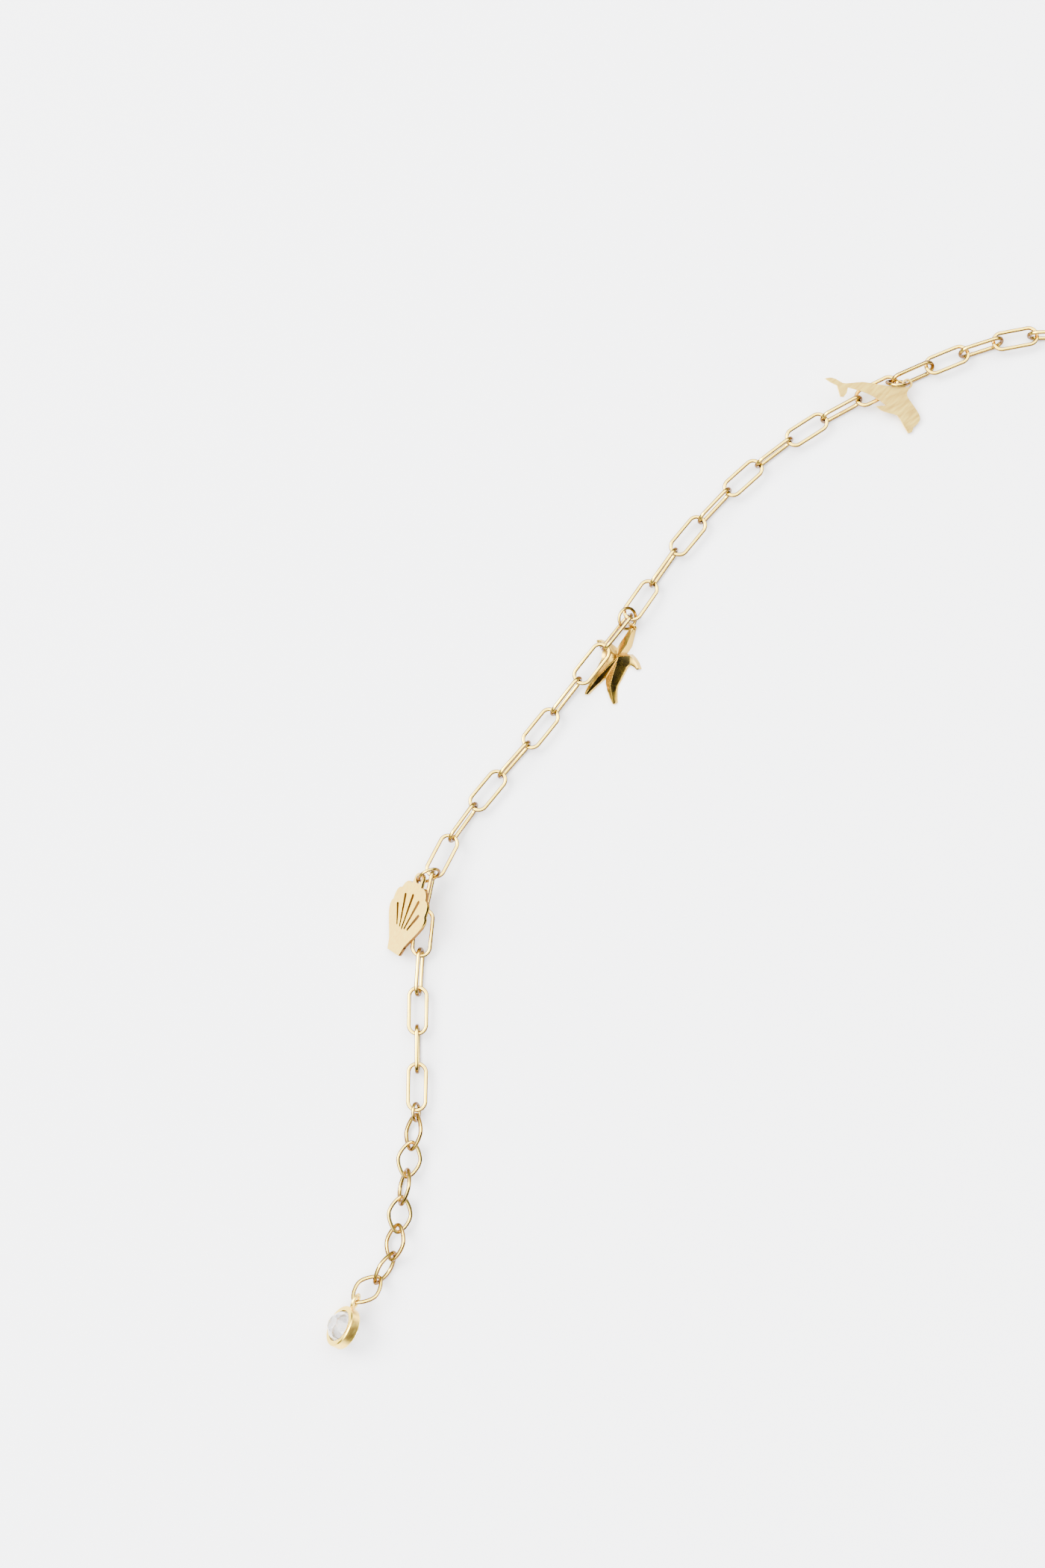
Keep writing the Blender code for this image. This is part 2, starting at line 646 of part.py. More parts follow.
def bezel_mesh():
    """Section of the bezel: a band whose inside is grooved for the stone's girdle."""
    seat = STONE_DIAMETER / 2 + STONE_PLAY
    outer = seat + BEZEL_WALL
    lip = STONE_DIAMETER / 2 - BEZEL_LIP
    half = BEZEL_DEPTH / 2
    soft = BEZEL_WALL / 3
    groove = STONE_GIRDLE / 2 + STONE_PLAY
    section = (
        (outer - soft, half), (outer, half - soft), (outer, soft - half), (outer - soft, -half),
        (lip, -half), (seat, -groove), (seat, groove), (lip, half),
    )
    mesh = bpy.data.meshes.new("drop_bezel")
    edges = [(index, (index + 1) % len(section)) for index in range(len(section))]
    mesh.from_pydata([(x, 0.0, z) for x, z in section], edges, [])
    return mesh


def bezel_radius():
    return STONE_DIAMETER / 2 + STONE_PLAY + BEZEL_WALL


def drop_height():
    """Height of the drop's middle when it leans with its rim on the surface."""
    lean = math.radians(DROP_LEAN)
    return bezel_radius() * math.sin(lean) + BEZEL_DEPTH / 2 * math.cos(lean)


def make_drop(bracelet, joint):
    """The stone in its bezel, hung from the last rhombus link by a soldered bail."""
    heading = math.radians(DROP_HEADING)
    outwards = Vector((math.cos(heading), math.sin(heading), 0.0))
    bail_reach = bezel_radius() + BAIL_DIAMETER / 2 - BAIL_WIRE * 0.7
    bail_inset = BAIL_DIAMETER / 2 - BAIL_WIRE - BAIL_PLAY
    middle = joint + outwards * (bail_inset + bail_reach)
    matrix = frame_matrix(middle, -outwards, UP, -DROP_LEAN)
    bezel = bracelet.add("drop_bezel", bezel_mesh(), matrix, bracelet.polished)
    turned = bezel.modifiers.new("turned", "SCREW")
    turned.axis = "Z"
    turned.steps = BEZEL_STEPS
    turned.render_steps = BEZEL_STEPS
    turned.merge_threshold = 0.001 * MM
    turned.use_merge_vertices = True
    turned.use_smooth_shade = True
    outline = ring_outline(BAIL_DIAMETER, BAIL_WIRE, 12)
    bail = mesh_from_curve(wire_curve("drop_bail", outline, BAIL_WIRE))
    out = Matrix.Translation((bail_reach, 0, 0))
    turn = Matrix.Rotation(math.radians(BAIL_TURN), 4, "X")
    bracelet.solder(bezel, "drop_bail", bail, out @ turn)
    bracelet.add("drop_stone", stone_mesh(), matrix, bracelet.clear)


def clasp_tube():
    """The closed ring of the clasp, a round tube."""
    reach = CLASP_DIAMETER - CLASP_TUBE
    curve = wire_curve("clasp_tube", superellipse(reach, reach, 2.0, CLASP_STEPS), CLASP_TUBE)
    curve.bevel_depth = CLASP_TUBE / 2
    curve.bevel_resolution = 3
    return mesh_from_curve(curve)


def thumb_mesh():
    """The small peg of the clasp's slide."""
    shape = bmesh.new()
    bmesh.ops.create_cone(
        shape, cap_ends=True, segments=10, radius1=CLASP_THUMB / 2, radius2=CLASP_THUMB / 3,
        depth=CLASP_TUBE,
    )
    mesh = bpy.data.meshes.new("clasp_thumb")
    shape.to_mesh(mesh)
    shape.free()
    return mesh


def make_clasp(bracelet, joint, before):
    """Spring-ring clasp that lies down from the last jump ring to the surface."""
    loop_inset = CLASP_LOOP / 2 - CLASP_LOOP_WIRE - JOINT_PLAY / 2
    ring_reach = CLASP_DIAMETER / 2 + CLASP_LOOP / 2 - CLASP_LOOP_WIRE * 0.8
    far = loop_inset + ring_reach + (CLASP_DIAMETER - CLASP_TUBE) / 2
    slope = math.asin((joint.z - CLASP_TUBE / 2) / far)
    heading = (joint - before) * Vector((1.0, 1.0, 0.0))
    outwards = heading.normalized() * math.cos(slope) - UP * math.sin(slope)
    middle = joint + outwards * (loop_inset + ring_reach)
    matrix = frame_matrix(middle, outwards, UP)
    clasp = bracelet.add_mesh("clasp", clasp_tube(), matrix, bracelet.polished)
    outline = ring_outline(CLASP_LOOP, CLASP_LOOP_WIRE, 12)
    loop = mesh_from_curve(wire_curve("clasp_loop", outline, CLASP_LOOP_WIRE))
    bracelet.solder(clasp, "clasp_loop", loop, Matrix.Translation((-ring_reach, 0, 0)))
    turn = Matrix.Rotation(math.radians(60.0), 4, "Z")
    out = Matrix.Translation((CLASP_DIAMETER / 2, 0, 0))
    upright = Matrix.Rotation(math.radians(90.0), 4, "Y")
    bracelet.solder(clasp, "clasp_thumb", thumb_mesh(), turn @ out @ upright)


def make_clasp_ring(bracelet, start, end):
    """Jump ring that stands on the surface between the last link and the clasp."""
    wire = bpy.data.curves["jump_ring"]
    matrix = frame_matrix((start + end) / 2, end - start, UP, 90.0)
    bracelet.add("clasp_ring", wire, matrix, bracelet.polished)


def put_origin_below_middle(bracelet):
    """Move the whole so that the origin is below its middle, on the surface."""
    bpy.context.view_layer.update()
    depsgraph = bpy.context.evaluated_depsgraph_get()
    corners = []
    for item in bracelet.parts.objects:
        if item.type not in {"CURVE", "MESH"}:
            continue
        evaluated = item.evaluated_get(depsgraph)
        mesh = evaluated.to_mesh()
        corners += [item.matrix_world @ vert.co for vert in mesh.vertices]
        evaluated.to_mesh_clear()
    low = Vector([min(corner[axis] for corner in corners) for axis in range(3)])
    high = Vector([max(corner[axis] for corner in corners) for axis in range(3)])
    bracelet.root.location = (-(low.x + high.x) / 2, -(low.y + high.y) / 2, -low.z)


def main():
    clear_scene()
    bracelet = Bracelet()
    extender, chain = lay_chain()
    extender[0].z = drop_height()
    chain[-1].z = RING_DIAMETER - chain[-2].z
    make_paperclip_chain(bracelet, chain)
    make_extender(bracelet, extender, chain)
    make_shell(bracelet, chain[SHELL_JOINT])
    star_along = chain[STAR_JOINT + 1] - chain[STAR_JOINT - 1]
    make_star(bracelet, chain[STAR_JOINT], star_along.normalized())
    dolphin_along = chain[DOLPHIN_JOINT] - chain[DOLPHIN_JOINT - 1]
    make_dolphin(bracelet, chain[DOLPHIN_JOINT], dolphin_along)
    make_charm_rings(bracelet, chain)
    make_drop(bracelet, extender[0])
    make_clasp_ring(bracelet, chain[-2], chain[-1])
    make_clasp(bracelet, chain[-1], chain[-2])
    put_origin_below_middle(bracelet)


main()
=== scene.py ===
"""Looks of a gold charm bracelet that lies unfastened on a pale surface.

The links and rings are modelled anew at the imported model's nodes. The charms, the drop and
the clasp are copies of their nodes with finished edges. All is in metres, +Z up.
"""

import math

import bpy
import numpy as np
from mathutils import Matrix, Vector


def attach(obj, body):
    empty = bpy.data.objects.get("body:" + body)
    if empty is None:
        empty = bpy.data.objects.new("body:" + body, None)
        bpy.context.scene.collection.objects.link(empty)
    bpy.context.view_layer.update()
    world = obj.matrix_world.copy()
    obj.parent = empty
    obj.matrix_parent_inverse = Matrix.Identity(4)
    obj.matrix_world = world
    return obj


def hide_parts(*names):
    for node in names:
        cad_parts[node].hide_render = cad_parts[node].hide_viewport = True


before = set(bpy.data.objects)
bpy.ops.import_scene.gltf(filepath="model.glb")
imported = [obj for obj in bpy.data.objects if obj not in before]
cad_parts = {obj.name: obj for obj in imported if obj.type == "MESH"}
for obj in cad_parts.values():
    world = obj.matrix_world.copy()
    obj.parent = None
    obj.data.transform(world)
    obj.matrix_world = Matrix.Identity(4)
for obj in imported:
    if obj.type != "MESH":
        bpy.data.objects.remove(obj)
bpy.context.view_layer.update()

bl_info = {
    "name": "Charm Bracelet",
    "version": (1, 0, 0),
    "blender": (4, 5, 0),
    "location": "3D View > Sidebar > Bracelet",
    "description": "Models a gold charm bracelet round its packed frame",
    "category": "Add Mesh",
}

MM = 0.001
TAB = "Bracelet"

CHAIN_LINKS = sorted(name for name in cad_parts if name.startswith("chain_link_"))
EXTENDER_LINKS = sorted(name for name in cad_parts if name.startswith("extender_link_"))
JUMP_RINGS = ("shell_ring", "star_ring", "dolphin_ring", "clasp_ring")

# A vertex further than this from the middle belongs to one end of a link
TINY = 0.0001 * MM
# Corners of a CAD node that are closer than this are one
MERGE = 0.002 * MM
# Faces of a CAD node that turn less than this, in degrees, are one flat face
FLAT_TURN = 0.5

# Steps round a chain link's bends, a jump ring and its wire, and a quarter of an extender
# link and of a link's wire
BEND_STEPS = 64
RING_STEPS = 72
RING_WIRE_STEPS = 20
RHOMBUS_STEPS = 18
SECTION_STEPS = 6

# Edges that turn more than this, in degrees, are rounded
PLATE_TURN = 50.0
SETTING_TURN = 40.0
STAR_TURN = 22.0
# Width of the rounded edges on the stone's band and the clasp
SETTING_EDGE = 0.04 * MM
# Faces that turn less than this, in degrees, are shaded as one surface
WIRE_BLEND = 60.0
EDGE_BLEND = 32.0
FACET_BLEND = 1.0

# Share of the shell's size within which its walls belong to the slots
SLOT_SHARE = 0.66
# A face is a wall where its normal has less than this share along the piece's axis
PLATE_WALL = 0.6
BAND_WALL = 0.5

# Sizes of the haze on worked gold and of its marks, which are drawn coarser than real ones
# so that they show
HAZE = 0.9 * MM
MARK = 0.16 * MM
# Strokes on satin sheet: slant in degrees, then length and width in millimetres. A real
# abrasive leaves finer ones, and these are as coarse as they need to be to show.
STROKES = ((48.0, 3.4, 0.26), (30.0, 2.4, 0.34))
# Brings the product of the two kinds of stroke, about a quarter, to the middle of the ramps
STROKE_LIFT = 0.25

# The camera's place, its height above the surface in degrees, its lens and sensor in
# millimetres, and the nearest and furthest that it sees
CAMERA_PLACE = (-0.03553, -0.05942, 0.36443)
CAMERA_PITCH = 80.0
CAMERA_LENS = 72.0
CAMERA_SENSOR = 36.0
CAMERA_NEAR = 0.01
CAMERA_FAR = 20.0

# The surface's width, and how far it lies under the bracelet
FLOOR_SIZE = 3.0
FLOOR_DROP = 0.01 * MM
# The key light's place, width and power in watts
KEY_PLACE = (-0.9, 0.35, 1.1)
KEY_SIZE = 0.9
KEY_POWER = 45.0

# Where the room is darkest, as seen from the bracelet
DARK_SIDE = Vector((0.62, -0.68, 0.36)).normalized()
# Where the camera and its stand shade the room, as level faces mirror it
CAMERA_HOOD = Vector((0.03, 0.19, 0.98)).normalized()
WHITE = (1.0, 1.0, 1.0, 1.0)
# The room's linear colour low down, and the sines of the angles above the surface between
# which it turns to white
ROOM_LOW = (0.045, 0.048, 0.055, 1.0)
ROOM_HEIGHTS = (0.49, 0.86)
# Each shaded part of the room: its middle, its linear colour, and where, as the cosine of
# the angle from its middle, it starts and is at its full depth
ROOM_SHADES = (
    (DARK_SIDE, (0.040, 0.046, 0.100, 1.0), 0.53, 0.66),
    (CAMERA_HOOD, (0.52, 0.52, 0.52, 1.0), 0.90, 0.97),
)
ROOM_STRENGTH = 13.9


def linear(hex_code):
    """An sRGB hex colour as linear red, green, blue and alpha."""
    channels = [int(hex_code[index:index + 2], 16) / 255 for index in (1, 3, 5)]
    curved = [c / 12.92 if c <= 0.04045 else ((c + 0.055) / 1.055) ** 2.4 for c in channels]
    return (*curved, 1.0)


def grey(value):
    """A number as a ramp's colour, for sockets such as Roughness."""
    return (value, value, value, 1.0)


def add_node(tree, kind, links=(), stops=(), **settings):
    """Adds a node with its links and settings.

    Links are (socket, output) pairs, stops are a colour ramp's (position, colour) pairs, and
    settings are attributes or sockets.
    """
    node = tree.nodes.new(kind)
    for name, value in settings.items():
        if hasattr(node, name):
            setattr(node, name, value)
        else:
            node.inputs[name.replace("_", " ")].default_value = value
    for index, (position, colour) in enumerate(stops):
        node.color_ramp.elements[index].position = position
        node.color_ramp.elements[index].color = colour
    for socket, output in links:
        tree.links.new(output, node.inputs[socket])
    return node


def new_material(name):
    """A material with its shader and its surface's own coordinates, in metres."""
    material = bpy.data.materials.new(name)
    material.use_nodes = True
    tree = material.node_tree
    shader = tree.nodes["Principled BSDF"]
    place = tree.nodes.new("ShaderNodeTexCoord")
    return material, tree, shader, place.outputs["Object"]


def paint_edge_shade(tree, tint, edge_shade):
    """Painted shade: a tint that turns to a darker colour where the metal curves away from the
    eye.

    It follows the eye in every view, and a baked model loses it.
    """
    facing = tree.nodes.new("ShaderNodeLayerWeight")
    turn = add_node(
        tree, "ShaderNodeValToRGB", [("Fac", facing.outputs["Facing"])],
        stops=((0.10, grey(0.0)), (0.36, grey(1.0))),
    )
    mixed = add_node(
        tree, "ShaderNodeMixRGB", [("Fac", turn.outputs["Color"]), ("Color1", tint)],
        Color2=linear(edge_shade),
    )
    return mixed.outputs["Color"]


def worked_gold(name, pale, deep, edge_shade, smooth, rough):
    """Gold with a soft haze of fine marks, between two tints and two roughnesses, with painted
    shade where it curves from the eye.
    """
    material, tree, shader, place = new_material(name)
    haze = add_node(tree, "ShaderNodeTexNoise", [("Vector", place)], Scale=1 / HAZE, Detail=3.0)
    marks = add_node(tree, "ShaderNodeTexNoise", [("Vector", place)], Scale=1 / MARK, Detail=2.0)
    tint = add_node(
        tree, "ShaderNodeValToRGB", [("Fac", haze.outputs["Fac"])],
        stops=((0.3, linear(deep)), (0.7, linear(pale))),
    )
    dull = add_node(
        tree, "ShaderNodeValToRGB", [("Fac", haze.outputs["Fac"])],
        stops=((0.3, grey(smooth)), (0.7, grey(rough))),
    )
    bump = add_node(
        tree, "ShaderNodeBump", [("Height", marks.outputs["Fac"])],
        Strength=0.10, Distance=0.010 * MM,
    )
    # Painted shade: the tint darkens where the surface curves away from the eye
    tree.links.new(paint_edge_shade(tree, tint.outputs["Color"], edge_shade), shader.inputs["Base Color"])
    tree.links.new(dull.outputs["Color"], shader.inputs["Roughness"])
    tree.links.new(bump.outputs["Normal"], shader.inputs["Normal"])
    shader.inputs["Metallic"].default_value = 1.0
    return material


def polished_gold(looks):
    """Drawn wire, tumble-polished: bright, with a soft haze of fine marks and painted brown
    shade on its flanks.
    """
    return worked_gold(
        "tumble_polished_gold", looks.polished_pale, looks.polished_deep, looks.edge_shade,
        smooth=0.08, rough=0.16,
    )


def burnished_gold(looks):
    """Soft sheet rubbed over the stone's edge with a steel: bright, without brown flanks, but
    with a faint painted shade to its deep tint.
    """
    return worked_gold(
        "burnished_gold", looks.polished_pale, looks.polished_deep, looks.polished_deep,
        smooth=0.12, rough=0.22,
    )


def cast_gold(looks):
    """Cast and lapped gold: a deeper amber, with facets that mirror a little less sharply and a
    faint painted shade where they turn from the eye.
    """
    return worked_gold(
        "lapped_cast_gold", looks.cast_pale, looks.cast_deep, looks.cast_deep,
        smooth=0.14, rough=0.24,
    )


def sawn_gold_painted_shade(looks):
    """Walls that a saw blade left: dull, with a brown that is painted shade in the slots."""
    return worked_gold(
        "saw_cut_gold_painted_shade", looks.slot_shade_pale, looks.slot_shade_deep, looks.slot_shade_deep,
        smooth=0.28, rough=0.42,
    )


def satin_gold(looks):
    """Sheet gold rubbed with a fine abrasive: a soft sheen with fine slanting strokes."""
    material, tree, shader, place = new_material("satin_sheet_gold")
    strokes = []
    for slant, length, width in STROKES:
        stretched = add_node(
            tree, "ShaderNodeMapping", [("Vector", place)], vector_type="TEXTURE",
            Rotation=(0.0, 0.0, math.radians(slant)),
            Scale=(length * MM, width * MM, width * MM),
        )
        strokes.append(add_node(
            tree, "ShaderNodeTexNoise", [("Vector", stretched.outputs["Vector"])],
            Scale=1.0, Detail=2.0,
        ))
    both = add_node(
        tree, "ShaderNodeMath", [(0, strokes[0].outputs["Fac"]), (1, strokes[1].outputs["Fac"])],
        operation="MULTIPLY_ADD",
    )
    both.inputs[2].default_value = STROKE_LIFT
    tint = add_node(
        tree, "ShaderNodeValToRGB", [("Fac", both.outputs["Value"])],
        stops=((0.38, linear(looks.satin_deep)), (0.62, linear(looks.satin_pale))),
    )
    dull = add_node(
        tree, "ShaderNodeValToRGB", [("Fac", both.outputs["Value"])],
        stops=((0.35, grey(0.27)), (0.65, grey(0.38))),
    )
    bump = add_node(
        tree, "ShaderNodeBump", [("Height", both.outputs["Value"])],
        Strength=0.22, Distance=0.020 * MM,
    )
    tree.links.new(tint.outputs["Color"], shader.inputs["Base Color"])
    tree.links.new(dull.outputs["Color"], shader.inputs["Roughness"])
    tree.links.new(bump.outputs["Normal"], shader.inputs["Normal"])
    shader.inputs["Metallic"].default_value = 1.0
    return material


def cut_stone(looks):
    """Cubic zirconia, cut and polished: colourless, with crisp facets and faint veils.

    It bends light less than a real one, under a coat that mirrors more, because that comes
    nearest to the pale stone.
    """
    material, tree, shader, place = new_material("cut_zirconia")
    veil = add_node(
        tree, "ShaderNodeTexNoise", [("Vector", place)], Scale=1 / (1.2 * MM), Detail=3.0
    )
    tint = add_node(
        tree, "ShaderNodeValToRGB", [("Fac", veil.outputs["Fac"])],
        stops=((0.3, linear(looks.stone_veil)), (0.7, linear(looks.stone_clear))),
    )
    dull = add_node(
        tree, "ShaderNodeValToRGB", [("Fac", veil.outputs["Fac"])],
        stops=((0.3, grey(0.0)), (0.7, grey(0.03))),
    )
    tree.links.new(tint.outputs["Color"], shader.inputs["Base Color"])
    tree.links.new(dull.outputs["Color"], shader.inputs["Roughness"])
    for socket, value in (
        ("Transmission Weight", 1.0), ("IOR", 1.62),
        ("Coat Weight", 1.0), ("Coat IOR", 2.0), ("Coat Roughness", 0.02),
    ):
        shader.inputs[socket].default_value = value
    return material


FINISHES = {
    "tumble_polished_gold": polished_gold,
    "burnished_gold": burnished_gold,
    "lapped_cast_gold": cast_gold,
    "saw_cut_gold_painted_shade": sawn_gold_painted_shade,
    "satin_sheet_gold": satin_gold,
    "cut_zirconia": cut_stone,
}


def finish(name):
    """The material of this name, made the first time that it is asked for."""
    return bpy.data.materials.get(name) or FINISHES[name](bpy.context.scene.bracelet_looks)


def deselect():
    """Object mode, with nothing selected."""
    if bpy.context.object and bpy.context.object.mode != "OBJECT":
        bpy.ops.object.mode_set(mode="OBJECT")
    bpy.ops.object.select_all(action="DESELECT")


def make_active(piece):
    """Object mode, with this piece alone selected."""
    deselect()
    piece.select_set(True)
    bpy.context.view_layer.objects.active = piece


def select_where(piece, test):
    """Selects the vertices of a piece whose place passes the test, in edit mode."""
    make_active(piece)
    bpy.ops.object.mode_set(mode="EDIT")
    bpy.ops.mesh.select_mode(type="VERT")
    bpy.ops.mesh.select_all(action="DESELECT")
    bpy.ops.object.mode_set(mode="OBJECT")
    for vert in piece.data.vertices:
        vert.select = test(vert.co)
    bpy.ops.object.mode_set(mode="EDIT")


def apply_modifier(piece, kind, **settings):
    """Adds a modifier with its settings and applies it."""
    make_active(piece)
    modifier = piece.modifiers.new("finish", kind)
    for name, value in settings.items():
        setattr(modifier, name, value)
    bpy.ops.object.modifier_apply(modifier=modifier.name)


def shade(piece, degrees):
    """Shades as one surface the faces that turn less than so many degrees."""
    make_active(piece)
    bpy.ops.object.shade_smooth_by_angle(angle=math.radians(degrees))


def node_points(name):
    """The different corners of a CAD node."""
    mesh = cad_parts[name].data
    points = np.empty(len(mesh.vertices) * 3)
    mesh.vertices.foreach_get("co", points)
    return np.unique(points.reshape(-1, 3).round(8), axis=0)


def node_matrix(name):
    """A node's own frame: X along its length, Y across it, Z its thin way, turned up."""
    points = node_points(name)
    middle = (points.min(axis=0) + points.max(axis=0)) / 2
    spread = np.linalg.svd(points - points.mean(axis=0), full_matrices=False)[2]
    x_axis, z_axis = Vector(spread[0]), Vector(spread[2])
    if z_axis.z < 0:
        z_axis.negate()
    y_axis = z_axis.cross(x_axis)
    matrix = Matrix((x_axis, y_axis, z_axis)).transposed().to_4x4()
    along = matrix.to_3x3().transposed()
    local = np.array([along @ Vector(point - middle) for point in points])
    shift = Vector((local.min(axis=0) + local.max(axis=0)) / 2)
    return Matrix.Translation(Vector(middle) + matrix.to_3x3() @ shift) @ matrix


def local_size(name):
    """A node's length, width and thickness in its own frame."""
    points = node_points(name)
    turn = node_matrix(name).to_3x3().transposed()
    local = np.array([turn @ Vector(point) for point in points])
    return Vector(local.max(axis=0) - local.min(axis=0))


def settle(piece, name, matrix, material, nodes):
    """Puts a piece in its place for good, dresses it and ties it to the frame."""
    piece.data.transform(piece.matrix_basis)
    piece.matrix_basis = Matrix.Identity(4)
    piece.data.transform(matrix)
    piece.data.update()
    piece.name = name
    piece.data.name = name
    piece.data.materials.clear()
    piece.data.materials.append(material)
    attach(piece, "root")
    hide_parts(*nodes)
    return piece


def copy_piece(piece):
    """A copy with a mesh of its own."""
    twin = piece.copy()
    twin.data = piece.data.copy()
    bpy.context.scene.collection.objects.link(twin)
    return twin


def lay_copies(model, names):
    """Settles a copy of a wire piece at each of these nodes, and removes the model."""
    for name in names:
        settle(
            copy_piece(model), f"{name}_fine", node_matrix(name),
            finish("tumble_polished_gold"), [name],
        )
    bpy.data.objects.remove(model)


def draw_handles(circle, share):
    """Sets how far a circle's curve handles reach, as a share of its radius."""
    for point in circle.data.splines[0].bezier_points:
        point.handle_left_type = "FREE"
        point.handle_right_type = "FREE"
        for side in ("handle_left", "handle_right"):
            pull = (getattr(point, side) - point.co).normalized() * point.co.length * share
            setattr(point, side, point.co + pull)


def add_wire(link, wire, squareness):
    """Gives a centre line its wire: a square with rounded corners, as a drawplate leaves it."""
    deselect()
    bpy.ops.curve.primitive_bezier_circle_add(radius=wire / 2)
    section = bpy.context.object
    draw_handles(section, squareness)
    section.data.resolution_u = SECTION_STEPS
    link.data.twist_mode = "Z_UP"
    link.data.bevel_mode = "OBJECT"
    link.data.bevel_object = section
    make_active(link)
    bpy.ops.object.convert(target="MESH")
    bpy.data.objects.remove(section)
    link = bpy.context.object
    shade(link, WIRE_BLEND)
    return link


def model_stadium_link(length, width, wire, squareness):
    """A ring pulled out to a paperclip link."""
    deselect()
    bpy.ops.mesh.primitive_circle_add(vertices=BEND_STEPS, radius=(width - wire) / 2)
    link = bpy.context.object
    half = (length - width) / 2
    for side in (1, -1):
        select_where(link, lambda place: place.x * side > TINY)
        bpy.ops.transform.translate(value=(side * half, 0.0, 0.0))
    bpy.ops.object.mode_set(mode="OBJECT")
    bpy.ops.object.convert(target="CURVE")
    return add_wire(bpy.context.object, wire, squareness)


def model_rhombus_link(length, width, wire, roundness, squareness):
    """A wire bent round four pegs, its corners drawn in by short curve handles."""
    deselect()
    bpy.ops.curve.primitive_bezier_circle_add(radius=1.0)
    link = bpy.context.object
    draw_handles(link, roundness)
    half_length, half_width = (length - wire) / 2, (width - wire) / 2
    for point in link.data.splines[0].bezier_points:
        for part in ("handle_left", "handle_right", "co"):
            place = getattr(point, part)
            setattr(point, part, (place.x * half_length, place.y * half_width, 0.0))
    link.data.resolution_u = RHOMBUS_STEPS
    return add_wire(link, wire, squareness)


def model_ring(diameter, wire):
    """A round jump ring, closed so that its joint doesn't show."""
    deselect()
    bpy.ops.mesh.primitive_torus_add(
        major_segments=RING_STEPS, minor_segments=RING_WIRE_STEPS,
        major_radius=(diameter - wire) / 2, minor_radius=wire / 2,
    )
    ring = bpy.context.object
    shade(ring, WIRE_BLEND)
    return ring


def node_copy(name):
    """A copy of a CAD node with its corners merged and its flat faces made whole."""
    deselect()
    piece = copy_piece(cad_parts[name])
    piece.parent = None
    for key in list(piece.keys()):
        del piece[key]
    piece.hide_render = False
    piece.hide_viewport = False
    make_active(piece)
    bpy.ops.object.mode_set(mode="EDIT")
    bpy.ops.mesh.select_all(action="SELECT")
    bpy.ops.mesh.remove_doubles(threshold=MERGE)
    bpy.ops.mesh.dissolve_limited(angle_limit=math.radians(FLAT_TURN))
    bpy.ops.object.mode_set(mode="OBJECT")
    return piece


def soften_edges(piece, width, degrees, segments=3):
    """Rounds the edges that turn more than so many degrees, as a polishing wheel does."""
    apply_modifier(
        piece, "BEVEL", width=width, segments=segments, limit_method="ANGLE",
        angle_limit=math.radians(degrees), use_clamp_overlap=True,
    )
    shade(piece, EDGE_BLEND)
    apply_modifier(piece, "WEIGHTED_NORMAL", mode="FACE_AREA", weight=100, keep_sharp=True)


class BraceletSizes(bpy.types.PropertyGroup):
    """Sizes of the wires and edges."""
    link_wire: bpy.props.FloatProperty(
        name="Link wire", description="Thickness of the paperclip links' wire",
        default=0.46 * MM, unit="LENGTH", precision=5,
    )
    wire_squareness: bpy.props.FloatProperty(
        name="Wire squareness", description="How square the links' wire is: 0.55 is round",
        default=0.73, min=0.55, max=1.0,
    )
    rhombus_wire: bpy.props.FloatProperty(
        name="Extender wire", description="Thickness of the extender links' wire",
        default=0.44 * MM, unit="LENGTH", precision=5,
    )
    rhombus_handle: bpy.props.FloatProperty(
        name="Extender roundness", description="Length of the curve handles at the corners",
        default=0.372, min=0.1, max=0.6,
    )
    ring_wire: bpy.props.FloatProperty(
        name="Ring wire", description="Thickness of the jump rings' wire",
        default=0.38 * MM, unit="LENGTH", precision=5,
    )
    plate_edge: bpy.props.FloatProperty(
        name="Plate edge", description="Rounding of the flat charms' edges",
        default=0.05 * MM, unit="LENGTH", precision=6,
    )
    star_edge: bpy.props.FloatProperty(
        name="Starfish edge", description="Rounding of the starfish's ridges and rim",
        default=0.05 * MM, unit="LENGTH", precision=6,
    )


class BraceletLooks(bpy.types.PropertyGroup):
    """Colours, as sRGB hex codes."""
    polished_pale: bpy.props.StringProperty(
        name="Polished gold, pale", description="Polished gold at its palest",
        default="#EECE55",
    )
    polished_deep: bpy.props.StringProperty(
        name="Polished gold, deep", description="Polished gold at its deepest",
        default="#E4C149",
    )
    # Painted shade: the brown that the wires take where they curve away from the eye
    edge_shade: bpy.props.StringProperty(
        name="Wire flanks", description="The wires' brown where they curve away from the eye",
        default="#6B4718",
    )
    cast_pale: bpy.props.StringProperty(
        name="Cast gold, pale", description="The starfish's gold at its palest",
        default="#D3B04C",
    )
    cast_deep: bpy.props.StringProperty(
        name="Cast gold, deep", description="The starfish's gold at its deepest",
        default="#C29D3C",
    )
    # Painted shade: the brown of the slots' walls, which stands for the shade inside them
    slot_shade_pale: bpy.props.StringProperty(
        name="Sawn gold, pale", description="The slots' walls at their palest",
        default="#94682A",
    )
    slot_shade_deep: bpy.props.StringProperty(
        name="Sawn gold, deep", description="The slots' walls at their deepest",
        default="#724C1C",
    )
    satin_pale: bpy.props.StringProperty(
        name="Satin gold, pale", description="Satin gold at its palest",
        default="#FFDC66",
    )
    satin_deep: bpy.props.StringProperty(
        name="Satin gold, deep", description="Satin gold at its deepest",
        default="#FACA56",
    )
    stone_clear: bpy.props.StringProperty(
        name="Stone, clear", description="The stone where it is clearest",
        default="#FFFFFF",
    )
    stone_veil: bpy.props.StringProperty(
        name="Stone, veiled", description="The stone where it is faintly veiled",
        default="#F6F1EE",
    )
    surface: bpy.props.StringProperty(
        name="Surface", description="The pale surface under the bracelet",
        default="#F2F2F2",
    )


